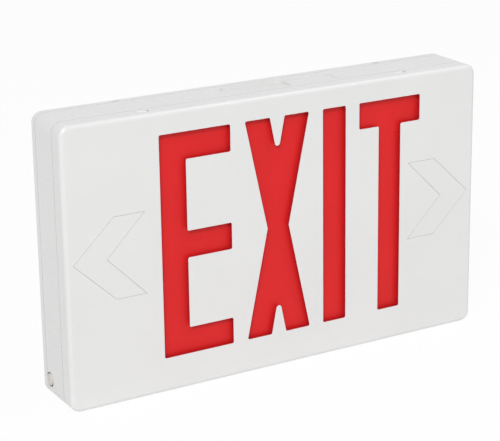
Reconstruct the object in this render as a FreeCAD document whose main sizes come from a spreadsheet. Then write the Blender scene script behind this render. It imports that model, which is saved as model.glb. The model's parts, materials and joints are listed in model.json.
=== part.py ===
import FreeCAD, Part
import math
import os

import Sketcher

# Emergency exit light: a moulded box with a stencilled face, lit from inside by LEDs and
# kept alive by a battery. Millimetres. X runs to the right and Z up as seen from the front,
# and the front looks along -Y. The origin is the centre of the back, which lies on the wall.
# A "station" is a distance forward of the wall, so it is -Y.

SIZES = {
    # legend: letters six inches high
    "letter_height": 152.4,
    "stem_width": 19.0,
    "bar_height": 18.4,
    "e_width": 51.9,
    "x_width": 49.1,
    "x_waist": 16.4,
    "x_notch_width": 11.3,
    "x_notch_depth": 27.9,
    "x_notch_radius": 2.0,
    "i_width": 18.2,
    "t_width": 49.7,
    "t_stem_width": 17.9,
    "letter_gap": 10.9,
    "letter_corner_radius": 1.2,
    "legend_shift": 10.1,
    # arrows beside the legend
    "arrow_width": 51.3,
    "arrow_half_height": 27.9,
    "arrow_band": 23.6,
    "arrow_arm_end": 22.0,
    "arrow_gap": 11.2,
    "arrow_margin": 5.15,
    "arrow_clearance": 0.2,
    "arrow_ledge": 1.2,
    "arrow_ledge_thickness": 0.8,
    # face and casing
    "top_margin": 15.2,
    "bottom_margin": 24.1,
    "depth": 44.5,
    "corner_radius": 7.0,
    "front_edge_radius": 3.0,
    "back_edge_radius": 1.5,
    "seam_gap": 0.4,
    "seam_edge_radius": 0.3,
    "faceplate_depth": 12.3,
    "face_wall": 1.6,
    "rim_wall": 2.0,
    "cover_depth": 6.0,
    "cover_wall": 2.5,
    "housing_wall": 2.2,
    "tongue_wall": 1.5,
    "tongue_height": 3.0,
    "tongue_clearance": 0.15,
    "shoulder_height": 2.0,
    "inner_corner_radius": 3.2,
    "stop_rib_thickness": 1.6,
    "stop_rib_depth": 5.0,
    "stop_rib_spacing": 56.0,
    # snap hooks of the faceplate and of the rear cover
    "hook_spacing": 197.0,
    "hook_width": 6.8,
    "hook_window_width": 8.8,
    "hook_window_shift": 0.6,
    "hook_window_setback": 2.8,
    "hook_window_height": 4.0,
    "hook_setback": 0.05,
    "hook_flat": 2.8,
    "hook_play": 0.2,
    "back_hook_spacing": 202.0,
    "back_hook_width": 4.6,
    "back_hook_setback": 0.6,
    "back_hook_flat": 0.7,
    "back_window_width": 5.2,
    "back_window_setback": 1.1,
    "back_window_height": 2.0,
    # canopy mounting recess in the top of the housing
    "canopy_shift": -6.0,
    "canopy_length": 122.0,
    "canopy_depth": 13.0,
    "canopy_step": 0.3,
    "knockout_length": 49.0,
    "knockout_depth": 20.0,
    "knockout_recess": 1.3,
    "knockout_radius": 8.0,
    "canopy_station": 20.5,
    # electronics bay and the tray in front of it
    "bay_depth": 17.0,
    "ledge_width": 4.0,
    "ledge_thickness": 1.6,
    "tray_thickness": 1.5,
    "tray_clearance": 0.3,
    "tray_rib_height": 2.0,
    "tray_rib_thickness": 1.4,
    "tray_rib_spacing": 29.0,
    "tray_screw_spacing": 118.0,
    "tray_boss_radius": 3.4,
    "tray_boss_length": 8.0,
    "screw_shank_radius": 1.1,
    "screw_head_radius": 2.4,
    "screw_head_height": 1.5,
    "screw_length": 6.0,
    "screw_reach": 2.4,
    "screw_slot_width": 0.6,
    "screw_slot_length": 2.6,
    "screw_slot_depth": 0.8,
    "pilot_clearance": 0.05,
    "screw_clearance": 0.3,
    "lead_slot_width": 9.0,
    "lead_slot_height": 20.0,
    "lead_slot_radius": 2.0,
    "lead_slot_rise": 5.0,
    "lead_slot_ratio": 3.9,
    # red panel
    "panel_thickness": 1.5,
    "panel_gap": 1.8,
    "panel_edge_gap": 1.0,
    "panel_corner_radius": 3.0,
    "stake_radius": 1.5,
    "stake_head_radius": 2.6,
    "stake_head_height": 0.8,
    "stake_clearance": 0.15,
    "stake_spacing": 92.0,
    "stake_inset": 7.6,
    # lamp boards and their LEDs
    "lamp_board_length": 262.0,
    "lamp_board_height": 12.0,
    "lamp_board_thickness": 1.0,
    "lamp_board_offset": 40.0,
    "lamp_screw_reach": 126.0,
    "led_count": 14,
    "led_pitch": 17.0,
    "led_length": 3.5,
    "led_height": 2.8,
    "led_thickness": 1.1,
    # rear cover fixings
    "entry_radius": 11.1,
    "entry_wall": 2.4,
    "entry_length": 5.5,
    "bushing_wall": 1.4,
    "bushing_flange": 2.2,
    "bushing_flange_thickness": 1.3,
    "bushing_clearance": 0.1,
    "box_slot_radius": 2.3,
    "box_slot_length": 9.0,
    "box_slot_spacing_upright": 83.3,
    "box_slot_spacing_level": 88.9,
    "keyhole_reach": 60.0,
    "keyhole_height": 62.0,
    "keyhole_head_radius": 4.5,
    "keyhole_neck_radius": 2.2,
    "keyhole_rise": 8.0,
    # driver board and what stands on it
    "board_length": 108.0,
    "board_height": 70.0,
    "board_thickness": 1.6,
    "board_centre_x": 94.0,
    "board_centre_z": -20.0,
    "board_screw_inset": 4.5,
    "standoff_radius": 3.2,
    "standoff_height": 3.0,
    "core_x": -18.0,
    "core_z": -4.0,
    "core_length": 32.0,
    "core_height": 27.0,
    "core_thickness": 10.0,
    "core_window": 7.0,
    "coil_clearance": 0.2,
    "coil_corner_radius": 1.5,
    "coil_bulge": 1.0,
    "capacitor_x": 12.0,
    "capacitor_z": 6.0,
    "capacitor_radius": 4.0,
    "capacitor_length": 11.0,
    "capacitor_groove": 0.35,
    "capacitor_groove_rise": 1.8,
    "capacitor_groove_height": 1.1,
    "capacitor_vent_radius": 2.0,
    "capacitor_pitch": 12.0,
    "relay_x": 29.0,
    "relay_z": -22.0,
    "relay_length": 19.0,
    "relay_height": 10.0,
    "relay_thickness": 10.2,
    "film_x": -8.0,
    "film_z": 24.0,
    "film_length": 18.0,
    "film_height": 6.0,
    "film_thickness": 10.5,
    "film_corner_radius": 1.0,
    "fuse_x": -34.0,
    "fuse_z": 26.0,
    "fuse_radius": 2.6,
    "fuse_length": 20.0,
    "fuse_cap_length": 5.0,
    "fuse_cap_wall": 0.2,
    "fuse_clip_width": 3.4,
    "fuse_clip_wall": 0.5,
    "rectifier_x": 14.0,
    "rectifier_z": 24.0,
    "rectifier_length": 8.4,
    "rectifier_height": 6.4,
    "rectifier_thickness": 3.2,
    "chip_x": 34.0,
    "chip_z": -2.0,
    "chip_length": 10.0,
    "chip_height": 4.0,
    "chip_thickness": 1.6,
    "block_corner_radius": 0.4,
    "resistor_x": 38.0,
    "resistor_z": 15.4,
    "resistor_count": 4,
    "resistor_radius": 1.2,
    "resistor_length": 6.4,
    "resistor_pitch": 4.4,
    "terminal_x": -47.0,
    "terminal_z": -8.0,
    "terminal_pole_pitch": 8.0,
    "terminal_width": 10.0,
    "terminal_thickness": 10.4,
    "terminal_mouth_radius": 1.9,
    "terminal_mouth_rise": 3.5,
    "terminal_mouth_depth": 5.0,
    "terminal_well_depth": 3.5,
    "terminal_screw_radius": 2.0,
    # battery
    "cell_radius": 7.1,
    "cell_length": 50.0,
    "battery_x": -112.0,
    "battery_z": -15.0,
    "battery_station": 11.0,
    "cradle_thickness": 2.0,
    "cradle_clearance": 0.2,
    "cradle_span": 35.5,
    "cradle_spacing": 32.0,
    "strap_width": 12.0,
    "strap_thickness": 0.8,
    "strap_clearance": 0.3,
    "strap_foot": 9.0,
    # plug and socket of the battery
    "socket_x": -40.0,
    "socket_z": -28.0,
    "socket_length": 7.6,
    "socket_height": 6.0,
    "socket_thickness": 6.5,
    "socket_wall": 0.8,
    "plug_clearance": 0.1,
    "plug_stand_out": 2.5,
    # test button and switch
    "button_station": 10.8,
    "button_rise": 12.5,
    "button_hole_radius": 5.2,
    "button_radius": 4.1,
    "button_stand_out": 0.8,
    "button_edge_radius": 1.4,
    "button_flange_radius": 6.1,
    "button_flange_thickness": 1.2,
    "button_flange_clearance": 0.3,
    "button_shoulder": 4.2,
    "button_stem_radius": 1.8,
    "button_stem_end": 10.5,
    "guide_wall": 1.5,
    "guide_depth": 9.0,
    "plunger_radius": 1.6,
    "plunger_length": 4.0,
    "plunger_clearance": 0.1,
    "switch_size": 12.0,
    "switch_corner_radius": 0.8,
    "switch_gap": 1.7,
    "switch_thickness": 7.0,
    "switch_bore_depth": 4.4,
    "switch_board_height": 17.0,
    "switch_board_width": 12.4,
    "switch_rib_height": 4.0,
    "switch_rib_clearance": 0.15,
    "switch_rib_thickness": 1.6,
    # pilot lamp in the bottom wall
    "pilot_reach": 112.0,
    "pilot_radius": 1.5,
    "pilot_flange_radius": 1.9,
    "pilot_flange_thickness": 0.8,
    "pilot_collar_wall": 2.0,
    "pilot_collar_height": 2.0,
    "pilot_setback": 0.2,
    # internal leads
    "lead_radius": 0.7,
    "lead_bend": 5.0,
    "lead_pitch": 1.8,
    "lamp_lead_x": 50.0,
    "lamp_lead_z": 26.0,
    "lamp_lead_drop": 6.0,
    "lamp_lead_overlap": 2.5,
}

NODES = []

doc = FreeCAD.newDocument("exit_light")
sheet = doc.addObject("Spreadsheet::Sheet", "sizes")
for row, (alias, value) in enumerate(SIZES.items(), start=1):
    sheet.set(f"A{row}", alias)
    sheet.set(f"B{row}", str(value))
    sheet.setAlias(f"B{row}", alias)
doc.recompute()


# ---------------------------------------------------------------- sizes and bindings


def text_of(value):
    """The expression text of a size or of a plain number."""
    return getattr(value, "text", repr(float(value)))


class Size(float):
    """A number that carries the spreadsheet expression it comes from."""

    def __new__(cls, value, text):
        size = super().__new__(cls, value)
        size.text = text
        return size

    def __add__(self, other):
        return Size(float(self) + float(other), f"({self.text} + {text_of(other)})")

    def __radd__(self, other):
        return Size(float(other) + float(self), f"({text_of(other)} + {self.text})")

    def __sub__(self, other):
        return Size(float(self) - float(other), f"({self.text} - {text_of(other)})")

    def __rsub__(self, other):
        return Size(float(other) - float(self), f"({text_of(other)} - {self.text})")

    def __mul__(self, other):
        return Size(float(self) * float(other), f"({self.text} * {text_of(other)})")

    __rmul__ = __mul__

    def __truediv__(self, other):
        return Size(float(self) / float(other), f"({self.text} / {text_of(other)})")

    def __neg__(self):
        return Size(-float(self), f"(0 - {self.text})")


class Sheet:
    """Reads a named cell as a Size."""

    def __getattr__(self, name):
        return Size(getattr(sheet, name), f"sizes.{name}")


size = Sheet()


def bind(thing, name, value):
    """Ties a property to the sheet where the value comes from it."""
    if isinstance(value, Size):
        thing.setExpression(name, value.text)
    elif float(value):
        thing.setExpression(name, repr(float(value)))


# ---------------------------------------------------------------- outlines for sketches


def rectangle(width, height, radius=0, x=0, y=0):
    """A rectangle centred on (x, y), with round corners where radius is given."""

    def draw(sketch):
        bind(sketch, "AttachmentOffset.Base.x", x)
        bind(sketch, "AttachmentOffset.Base.y", y)
        right, top, corner = float(width) / 2, float(height) / 2, float(radius)
        spots = [(-right, -top), (right, -top), (right, top), (-right, top)]
        draw_round_outline(sketch, spots, corner)
        sides = ("Horizontal", "Vertical", "Horizontal", "Vertical")
        sketch.addConstraint([Sketcher.Constraint(kind, i) for i, kind in enumerate(sides)])
        if corner:
            for i in range(4):
                sketch.addConstraint(Sketcher.Constraint("Tangent", i, 2, 4 + i, 1))
                sketch.addConstraint(Sketcher.Constraint("Tangent", 4 + i, 2, (i + 1) % 4, 1))
            sketch.addConstraint([Sketcher.Constraint("Equal", 4, i) for i in (5, 6, 7)])
            constrain(sketch, "corner", radius, "Radius", 4)
        else:
            for i in range(4):
                sketch.addConstraint(Sketcher.Constraint("Coincident", i, 2, (i + 1) % 4, 1))
        constrain(sketch, "right", width / 2, "DistanceX", -1, 1, 1, 1)
        constrain(sketch, "left", width / 2, "DistanceX", 3, 1, -1, 1)
        constrain(sketch, "top", height / 2, "DistanceY", -1, 1, 2, 1)
        constrain(sketch, "bottom", height / 2, "DistanceY", 0, 1, -1, 1)

    return draw


def constrain(sketch, name, value, *what):
    """Adds a named dimension to a sketch and ties it to the sheet."""
    index = sketch.addConstraint(Sketcher.Constraint(*what, float(value)))
    sketch.renameConstraint(index, name)
    bind(sketch, "Constraints." + name, value)


def circles(radius, spots):
    """Equal circles centred on the spots."""

    def draw(sketch):
        for x, y in spots:
            centre = FreeCAD.Vector(float(x), float(y), 0)
            sketch.addGeometry(Part.Circle(centre, FreeCAD.Vector(0, 0, 1), float(radius)), False)
        followers = [Sketcher.Constraint("Equal", 0, i) for i in range(1, len(spots))]
        sketch.addConstraint(followers)
        constrain(sketch, "radius", radius, "Radius", 0)

    return draw


def slots(radius, length, spots, upright=False):
    """Slots of full length, with half-round ends, centred on the spots."""
    reach = float(length) / 2 - float(radius)

    def draw(sketch):
        for x, y in spots:
            along = (0, reach) if upright else (reach, 0)
            across = (-float(radius), 0) if upright else (0, float(radius))
            near = FreeCAD.Vector(x - along[0], y - along[1], 0)
            far = FreeCAD.Vector(x + along[0], y + along[1], 0)
            side = FreeCAD.Vector(across[0], across[1], 0)
            end = (far - near).normalize() * float(radius)
            sketch.addGeometry(Part.LineSegment(near + side, far + side), False)
            sketch.addGeometry(Part.Arc(far + side, far + end, far - side), False)
            sketch.addGeometry(Part.LineSegment(far - side, near - side), False)
            sketch.addGeometry(Part.Arc(near - side, near - end, near + side), False)

    return draw


def outline(spots):
    """A closed outline of straight sides through the spots."""
    return outlines([spots], [0.0])


def outlines(loops, radii):
    """Several closed outlines in one sketch, each with its own list of corner radii."""

    def draw(sketch):
        for spots, radius in zip(loops, radii):
            draw_round_outline(sketch, spots, radius)

    return draw


def draw_round_outline(sketch, spots, radius):
    """Draws straight sides, then corner arcs. radius is one number or one for each spot."""
    points = [FreeCAD.Vector(float(x), float(y), 0) for x, y in spots]
    count = len(points)
    radii = radius if isinstance(radius, list) else [radius] * count
    corners = []
    for i, point in enumerate(points):
        before = (points[i - 1] - point).normalize()
        after = (points[(i + 1) % count] - point).normalize()
        half = before.getAngle(after) / 2
        cut = radii[i] / math.tan(half)
        inward = (before + after).normalize()
        middle = point + inward * (radii[i] / math.sin(half) - radii[i])
        corners.append((point + before * cut, middle, point + after * cut))
    # side i runs from spot i to the next one
    for i in range(count):
        line = Part.LineSegment(corners[i][2], corners[(i + 1) % count][0])
        sketch.addGeometry(line, False)
    # the arc at the end of each side follows it
    for i in range(count):
        start, middle, end = corners[(i + 1) % count]
        if radii[(i + 1) % count]:
            sketch.addGeometry(Part.Arc(start, middle, end), False)


def inset(spots, distance):
    """The outline moved inward by distance, for spots in anticlockwise order."""
    points = [FreeCAD.Vector(float(x), float(y), 0) for x, y in spots]
    count = len(points)
    moved = []
    for i, point in enumerate(points):
        before = (point - points[i - 1]).normalize()
        after = (points[(i + 1) % count] - point).normalize()
        left_before = FreeCAD.Vector(-before.y, before.x, 0)
        left_after = FreeCAD.Vector(-after.y, after.x, 0)
        middle = (left_before + left_after).normalize()
        shift = middle * (float(distance) / middle.dot(left_before))
        moved.append((point.x + shift.x, point.y + shift.y))
    return moved


# ---------------------------------------------------------------- pieces


class Piece:
    """A PartDesign body that grows by pads, pockets and turned profiles.

    The axis "y" takes stations, forward of the wall, with sketch axes X and Z; the axis "x"
    takes X, with sketch axes Y and Z; the axis "z" takes Z, with sketch axes X and Y.
    """

    PLANES = {"x": "YZ_Plane", "y": "XZ_Plane", "z": "XY_Plane"}

    def __init__(self, name):
        self.name = name
        self.body = doc.addObject("PartDesign::Body", name)
        self.body.Label = name
        self.body.AllowCompound = True
        NODES.append(self.body)

    def sketch(self, name, draw, axis, start):
        origin = self.body.Origin.OriginFeatures
        plane = next(item for item in origin if item.Role == self.PLANES[axis])
        sketch = self.body.newObject("Sketcher::SketchObject", f"{self.name}_{name}_outline")
        sketch.AttachmentSupport = [(plane, "")]
        sketch.MapMode = "FlatFace"
        draw(sketch)
        bind(sketch, "AttachmentOffset.Base.z", start)
        return sketch

    def feature(self, kind, name, profile):
        feature = self.body.newObject(f"PartDesign::{kind}", f"{self.name}_{name}")
        feature.Profile = profile
        return feature

    def add(self, name, draw, start, end, axis="y"):
        """Adds the outline's solid between two stations."""
        feature = self.feature("Pad", name, self.sketch(name, draw, axis, start))
        bind(feature, "Length", end - start)

    def cut(self, name, draw, start, end, axis="y"):
        """Cuts the outline away between two stations."""
        feature = self.feature("Pocket", name, self.sketch(name, draw, axis, start))
        feature.Reversed = True
        bind(feature, "Length", end - start)

    def turn(self, name, draw, station, axis):
        """Turns a profile in a plane at a station about the sketch's H_Axis or V_Axis."""
        sketch = self.sketch(name, draw, "y", station)
        feature = self.feature("Revolution", name, sketch)
        feature.ReferenceAxis = (sketch, [axis])
        feature.Angle = 360

    def round(self, name, radius, chosen):
        """Rounds the edges for which chosen(edge) is true."""
        doc.recompute()
        base = self.body.Tip
        edges = [f"Edge{i}" for i, edge in enumerate(base.Shape.Edges, 1) if chosen(edge)]
        feature = self.body.newObject("PartDesign::Fillet", f"{self.name}_{name}")
        feature.Base = (base, edges)
        bind(feature, "Radius", radius)


def at_station(station, tolerance=0.01):
    """Chooses the edges that lie wholly at one station."""

    def chosen(edge):
        box = edge.BoundBox
        return abs(-box.YMin - station) < tolerance and abs(-box.YMax - station) < tolerance

    return chosen


def outermost_at(station):
    """Chooses the edges of the outer outline at one station."""
    wanted = at_station(station)

    def chosen(edge):
        box = edge.BoundBox
        across = max(abs(box.XMin), abs(box.XMax)) > half_width - size.corner_radius
        up = max(abs(box.ZMin), abs(box.ZMax)) > half_height - size.corner_radius
        rim = max(abs(box.XMin), abs(box.XMax)) > half_width - 0.01
        rim = rim or max(abs(box.ZMin), abs(box.ZMax)) > half_height - 0.01
        return wanted(edge) and rim and (across or up)

    return chosen


# ---------------------------------------------------------------- shared places

legend_width = size.e_width + size.x_width + size.i_width + size.t_width + 3 * size.letter_gap
legend_left = size.legend_shift - legend_width / 2
arrow_arms = size.arrow_gap - legend_left
arrow_tip = arrow_arms + size.arrow_width
half_width = arrow_tip + size.arrow_margin
face_width = 2 * half_width
face_height = size.letter_height + size.top_margin + size.bottom_margin
half_height = face_height / 2
legend_top = half_height - size.top_margin
legend_middle = legend_top - size.letter_height / 2

wall_face = 0.0
front = size.depth
face_back = front - size.face_wall
faceplate_back = front - size.faceplate_depth
housing_front = faceplate_back - size.seam_gap
housing_back = size.cover_depth + size.seam_gap
plate_front = size.cover_wall
tongue_front = faceplate_back + size.tongue_height - size.seam_gap
tray_back = plate_front + size.bay_depth
tray_front = tray_back + size.tray_thickness
lamp_front = tray_front + size.lamp_board_thickness
panel_front = face_back - size.panel_gap
panel_back = panel_front - size.panel_thickness
board_back = plate_front + size.standoff_height
board_front = board_back + size.board_thickness

# Insets from the outer outline: the rim's inner wall, the housing's tongue and its mouth.
rim_inset = size.rim_wall
tongue_inset = rim_inset + size.tongue_clearance
mouth_inset = tongue_inset + size.tongue_wall
ledge_inset = mouth_inset + size.ledge_width


def ring(step, radius):
    """The casing's outline moved inward by a step."""
    return rectangle(face_width - 2 * step, face_height - 2 * step, radius)


def mirrored_spots(x, y):
    """The four spots at (+-x, +-y)."""
    return [(sx * x, sy * y) for sx in (-1, 1) for sy in (-1, 1)]


def row_spots(count, pitch, y):
    """Spots in a row along X, centred on X = 0."""
    return [((i - (count - 1) / 2) * pitch, y) for i in range(count)]


stake_spots = []
for side in (-1, 1):
    stake_spots += row_spots(4, size.stake_spacing, side * (half_height - size.stake_inset))
tray_screw_spots = []
for side in (-1, 1):
    level = side * (half_height - ledge_inset)
    tray_screw_spots += row_spots(3, size.tray_screw_spacing, level)
# the lead slots stand in the room between a lamp board's end and the tray's edge
lamp_board_end = size.lamp_board_length / 2
lead_room = half_width - mouth_inset - size.tray_clearance - lamp_board_end
lead_slot_x = lamp_board_end + lead_room / size.lead_slot_ratio
lamp_screw_spots = mirrored_spots(size.lamp_screw_reach, size.lamp_board_offset)
board_screw_spots = [
    (size.board_centre_x + sx * (size.board_length / 2 - size.board_screw_inset),
     size.board_centre_z + sz * (size.board_height / 2 - size.board_screw_inset))
    for sx in (-1, 1) for sz in (-1, 1)
]
strap_foot_reach = 3 * size.cell_radius + size.strap_clearance + size.strap_thickness
strap_screw_spots = [
    (size.battery_x, size.battery_z + side * (strap_foot_reach + size.strap_foot / 2))
    for side in (-1, 1)
]


# ---------------------------------------------------------------- legend outlines


def letter_outlines():
    """The four letters, as lists of spots with lists of corner radii."""
    corner = float(size.letter_corner_radius)
    top, bottom, middle = legend_top, legend_top - size.letter_height, legend_middle
    bar = size.bar_height
    left = legend_left
    right = left + size.e_width
    stem = left + size.stem_width
    letter_e = [
        (left, bottom), (right, bottom), (right, bottom + bar), (stem, bottom + bar),
        (stem, middle - bar / 2), (right, middle - bar / 2),
        (right, middle + bar / 2), (stem, middle + bar / 2),
        (stem, top - bar), (right, top - bar), (right, top), (left, top),
    ]

    left = right + size.letter_gap
    centre = left + size.x_width / 2
    wide, waist, notch = size.x_width / 2, size.x_waist / 2, size.x_notch_width / 2
    letter_x = [
        (centre - wide, bottom), (centre - notch, bottom),
        (centre, bottom + size.x_notch_depth),
        (centre + notch, bottom), (centre + wide, bottom),
        (centre + waist, middle), (centre + wide, top), (centre + notch, top),
        (centre, top - size.x_notch_depth),
        (centre - notch, top), (centre - wide, top), (centre - waist, middle),
    ]
    notch_radius = float(size.x_notch_radius)
    x_radii = [corner, corner, notch_radius, corner, corner, corner] * 2

    left = left + size.x_width + size.letter_gap
    right = left + size.i_width
    letter_i = [(left, bottom), (right, bottom), (right, top), (left, top)]

    left = right + size.letter_gap
    right = left + size.t_width
    centre = left + size.t_width / 2
    stem = size.t_stem_width / 2
    letter_t = [
        (centre - stem, bottom), (centre + stem, bottom), (centre + stem, top - bar),
        (right, top - bar), (right, top), (left, top), (left, top - bar),
        (centre - stem, top - bar),
    ]
    loops = [letter_e, letter_x, letter_i, letter_t]
    radii = [[corner] * 12, x_radii, [corner] * 4, [corner] * 8]
    return loops, radii


def arrow_outline(side, step=0.0):
    """An arrowhead that points away from the legend, side -1 or 1, moved in by a step."""
    arms = arrow_arms
    tip = arrow_tip
    outer = arms + size.arrow_arm_end
    hollow = tip - size.arrow_band
    rise = size.arrow_half_height
    middle = legend_middle
    spots = [
        (tip, middle), (outer, middle + rise), (arms, middle + rise),
        (hollow, middle), (arms, middle - rise), (outer, middle - rise),
    ]
    if side < 0:
        spots = [(-x, z) for x, z in reversed(spots)]
    return inset(spots, step)


# ---------------------------------------------------------------- casing


def build_faceplate():
    """Front cover: shallow tray with the stencil, the arrow openings and the snap windows."""
    piece = Piece("faceplate")
    piece.add("block", ring(0, size.corner_radius), faceplate_back, front)
    piece.round("front_edge", size.front_edge_radius, at_station(front))
    piece.cut("hollow", ring(rim_inset, size.corner_radius - rim_inset), faceplate_back, face_back)
    piece.cut("legend", outlines(*letter_outlines()), face_back, front)
    for side, name in ((-1, "left"), (1, "right")):
        ledge_front = face_back + size.arrow_ledge_thickness
        piece.cut(f"arrow_{name}", outline(arrow_outline(side)), ledge_front, front)
        inner = arrow_outline(side, size.arrow_ledge)
        piece.cut(f"arrow_{name}_through", outline(inner), face_back, ledge_front)
    # ribs that stop the faceplate on the end of the housing's tongue
    reach = (mouth_inset + size.stop_rib_depth - rim_inset) / 2
    for side, name in ((-1, "bottom"), (1, "top")):
        level = side * (half_height - rim_inset - reach)
        for x, _ in row_spots(4, size.stop_rib_spacing, 0):
            tag = f"stop_{name}_{'minus' if x < 0 else 'plus'}_{abs(int(x))}"
            rib = rectangle(size.stop_rib_thickness, 2 * reach, 0, x, level)
            piece.add(tag, rib, tongue_front, panel_back - size.stake_clearance)
    # pins through the red panel, with shoulders in front of it and heads formed behind it
    piece.add("stakes", circles(size.stake_radius, stake_spots), panel_back, face_back)
    heads = circles(size.stake_head_radius, stake_spots)
    piece.add("stake_shoulders", heads, panel_front, face_back)
    piece.add("stake_heads", heads, panel_back - size.stake_head_height, panel_back)
    # windows in the rim that the housing's hooks snap into
    low = faceplate_back + size.hook_window_setback
    for side, name in ((-1, "bottom"), (1, "top")):
        for x, tag in ((-1, "left"), (1, "right")):
            window = rectangle(size.hook_window_width, 2 * rim_inset, 0,
                               x * size.hook_spacing / 2 + size.hook_window_shift,
                               side * half_height)
            piece.cut(f"window_{name}_{tag}", window, low, low + size.hook_window_height)
    piece.round("seam_edge", size.seam_edge_radius, outermost_at(faceplate_back))


def build_arrow(side, name):
    """Knock-out plug that closes one arrow opening, seated on the ledge behind it."""
    piece = Piece(name)
    ledge_front = face_back + size.arrow_ledge_thickness
    plug = arrow_outline(side, size.arrow_clearance)
    piece.add("front", outline(plug), ledge_front, front)
    back = arrow_outline(side, size.arrow_ledge + size.arrow_clearance)
    piece.add("back", outline(back), face_back, ledge_front)


def build_red_panel():
    """Red diffusing panel that the faceplate's stakes hold a little way behind its back."""
    piece = Piece("red_diffuser")
    step = rim_inset + size.panel_edge_gap
    piece.add("sheet", ring(step, size.panel_corner_radius), panel_back, panel_front)
    holes = circles(size.stake_radius + size.stake_clearance, stake_spots)
    piece.cut("stake_holes", holes, panel_back, panel_front)


def hook_outline(level, tip, catch, flat, ramp_end, root, side):
    """Section of a snap hook in Y and Z: a tab on the tongue, and a wedge that points out."""
    inner = level - size.tongue_wall
    spots = [(-root, inner), (-root, level), (-catch, level), (-catch, tip), (-flat, tip),
             (-ramp_end, level), (-ramp_end, inner)]
    return outline([(y, side * z) for y, z in spots])


def build_housing():
    """Four-sided frame between the two covers, with tongues, hooks, ledge and bosses."""
    piece = Piece("housing")
    corner = size.inner_corner_radius
    piece.add("block", ring(0, size.corner_radius), housing_back, housing_front)
    tongue = ring(tongue_inset, size.corner_radius - tongue_inset)
    piece.add("tongue", tongue, plate_front, tongue_front)
    piece.cut("mouth_front", ring(mouth_inset, corner), tray_back, tongue_front)
    ledge_back = tray_back - size.ledge_thickness
    piece.cut("mouth_back", ring(mouth_inset, corner), plate_front, ledge_back)
    piece.cut("ledge_opening", ring(ledge_inset, corner), ledge_back, tray_back)
    hollow = ring(size.housing_wall, size.corner_radius - size.housing_wall)
    piece.cut("hollow_front", hollow, tray_back, housing_front - size.shoulder_height)
    piece.cut("hollow_back", hollow, housing_back + size.shoulder_height, ledge_back)
    build_housing_hooks(piece)
    build_canopy_recess(piece)
    # bosses under the ledge for the tray's screws
    bosses = circles(size.tray_boss_radius, tray_screw_spots)
    piece.add("tray_bosses", bosses, tray_back - size.tray_boss_length, tray_back)
    pilot = circles(size.screw_shank_radius + size.pilot_clearance, tray_screw_spots)
    piece.cut("tray_pilots", pilot, tray_back - size.screw_length, tray_back)
    build_button_guide(piece)
    build_pilot_collar(piece)
    piece.round("seam_front", size.seam_edge_radius, outermost_at(housing_front))
    piece.round("seam_back", size.seam_edge_radius, outermost_at(housing_back))


def build_housing_hooks(piece):
    """Snap hooks along the top and bottom, in front and behind."""
    level = half_height - tongue_inset
    tip = half_height - size.hook_setback
    catch = faceplate_back + size.hook_window_setback + size.hook_play
    flat = catch + size.hook_flat
    ramp_end = catch + size.hook_window_height - 2 * size.hook_play
    for side, name in ((-1, "bottom"), (1, "top")):
        for x, tag in ((-1, "left"), (1, "right")):
            place = x * size.hook_spacing / 2
            front_hook = hook_outline(level, tip, catch, flat, ramp_end, housing_front, side)
            piece.add(f"hook_{name}_{tag}", front_hook,
                      place - size.hook_width / 2, place + size.hook_width / 2, "x")
    # small hooks behind, which the rear cover's windows catch
    tip = half_height - size.back_hook_setback
    catch = size.cover_depth - size.back_window_setback - size.hook_play
    flat = catch - size.back_hook_flat
    ramp_end = catch - size.back_window_height + 2 * size.hook_play
    for side, name in ((-1, "bottom"), (1, "top")):
        for x, tag in ((-1, "left"), (1, "right")):
            place = x * size.back_hook_spacing / 2
            back_hook = hook_outline(level, tip, catch, flat, ramp_end, housing_back, side)
            piece.add(f"back_hook_{name}_{tag}", back_hook,
                      place - size.back_hook_width / 2, place + size.back_hook_width / 2, "x")


def build_canopy_recess(piece):
    """Shallow landing in the top for a ceiling canopy, with a thinned knockout in it."""
    place = size.canopy_shift
    landing = rectangle(size.canopy_length, size.canopy_depth, 0, place, -size.canopy_station)
    piece.cut("canopy_landing", landing, half_height - size.canopy_step, half_height, "z")
    knockout = rectangle(size.knockout_length, size.knockout_depth, size.knockout_radius,
                         place, -size.canopy_station)
    piece.cut("knockout", knockout, half_height - size.knockout_recess, half_height, "z")


button_z = size.button_rise - half_height
button_spot = (-size.button_station, button_z)
guide_radius = size.button_flange_radius + size.button_flange_clearance + size.guide_wall


def build_button_guide(piece):
    """Round guide of the test button in the left wall, and the ribs that hold its board."""
    wall = -half_width
    boss = circles(guide_radius, [button_spot])
    piece.add("guide", boss, wall + tongue_inset, wall + size.guide_depth, "x")
    hole = circles(size.button_hole_radius, [button_spot])
    piece.cut("guide_hole", hole, wall, wall + size.guide_depth, "x")
    pocket = circles(size.button_flange_radius + size.button_flange_clearance, [button_spot])
    piece.cut("guide_pocket", pocket, wall + size.button_shoulder,
              wall + size.guide_depth, "x")
    # a pair of ribs on the bottom wall, one each side of the switch board
    floor = size.housing_wall - half_height
    for name, low in (("outer", switch_board_left - size.switch_rib_clearance
                       - size.switch_rib_thickness),
                      ("inner", switch_board_left + size.board_thickness
                       + size.switch_rib_clearance)):
        middle = low + size.switch_rib_thickness / 2
        rib = rectangle(size.switch_rib_thickness, size.switch_rib_height, 0,
                        middle, floor + size.switch_rib_height / 2)
        piece.add(f"board_rib_{name}", rib, housing_back, tray_back - size.ledge_thickness)


switch_left = -half_width + size.button_stem_end + size.switch_gap
switch_board_left = switch_left + size.switch_thickness


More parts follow.
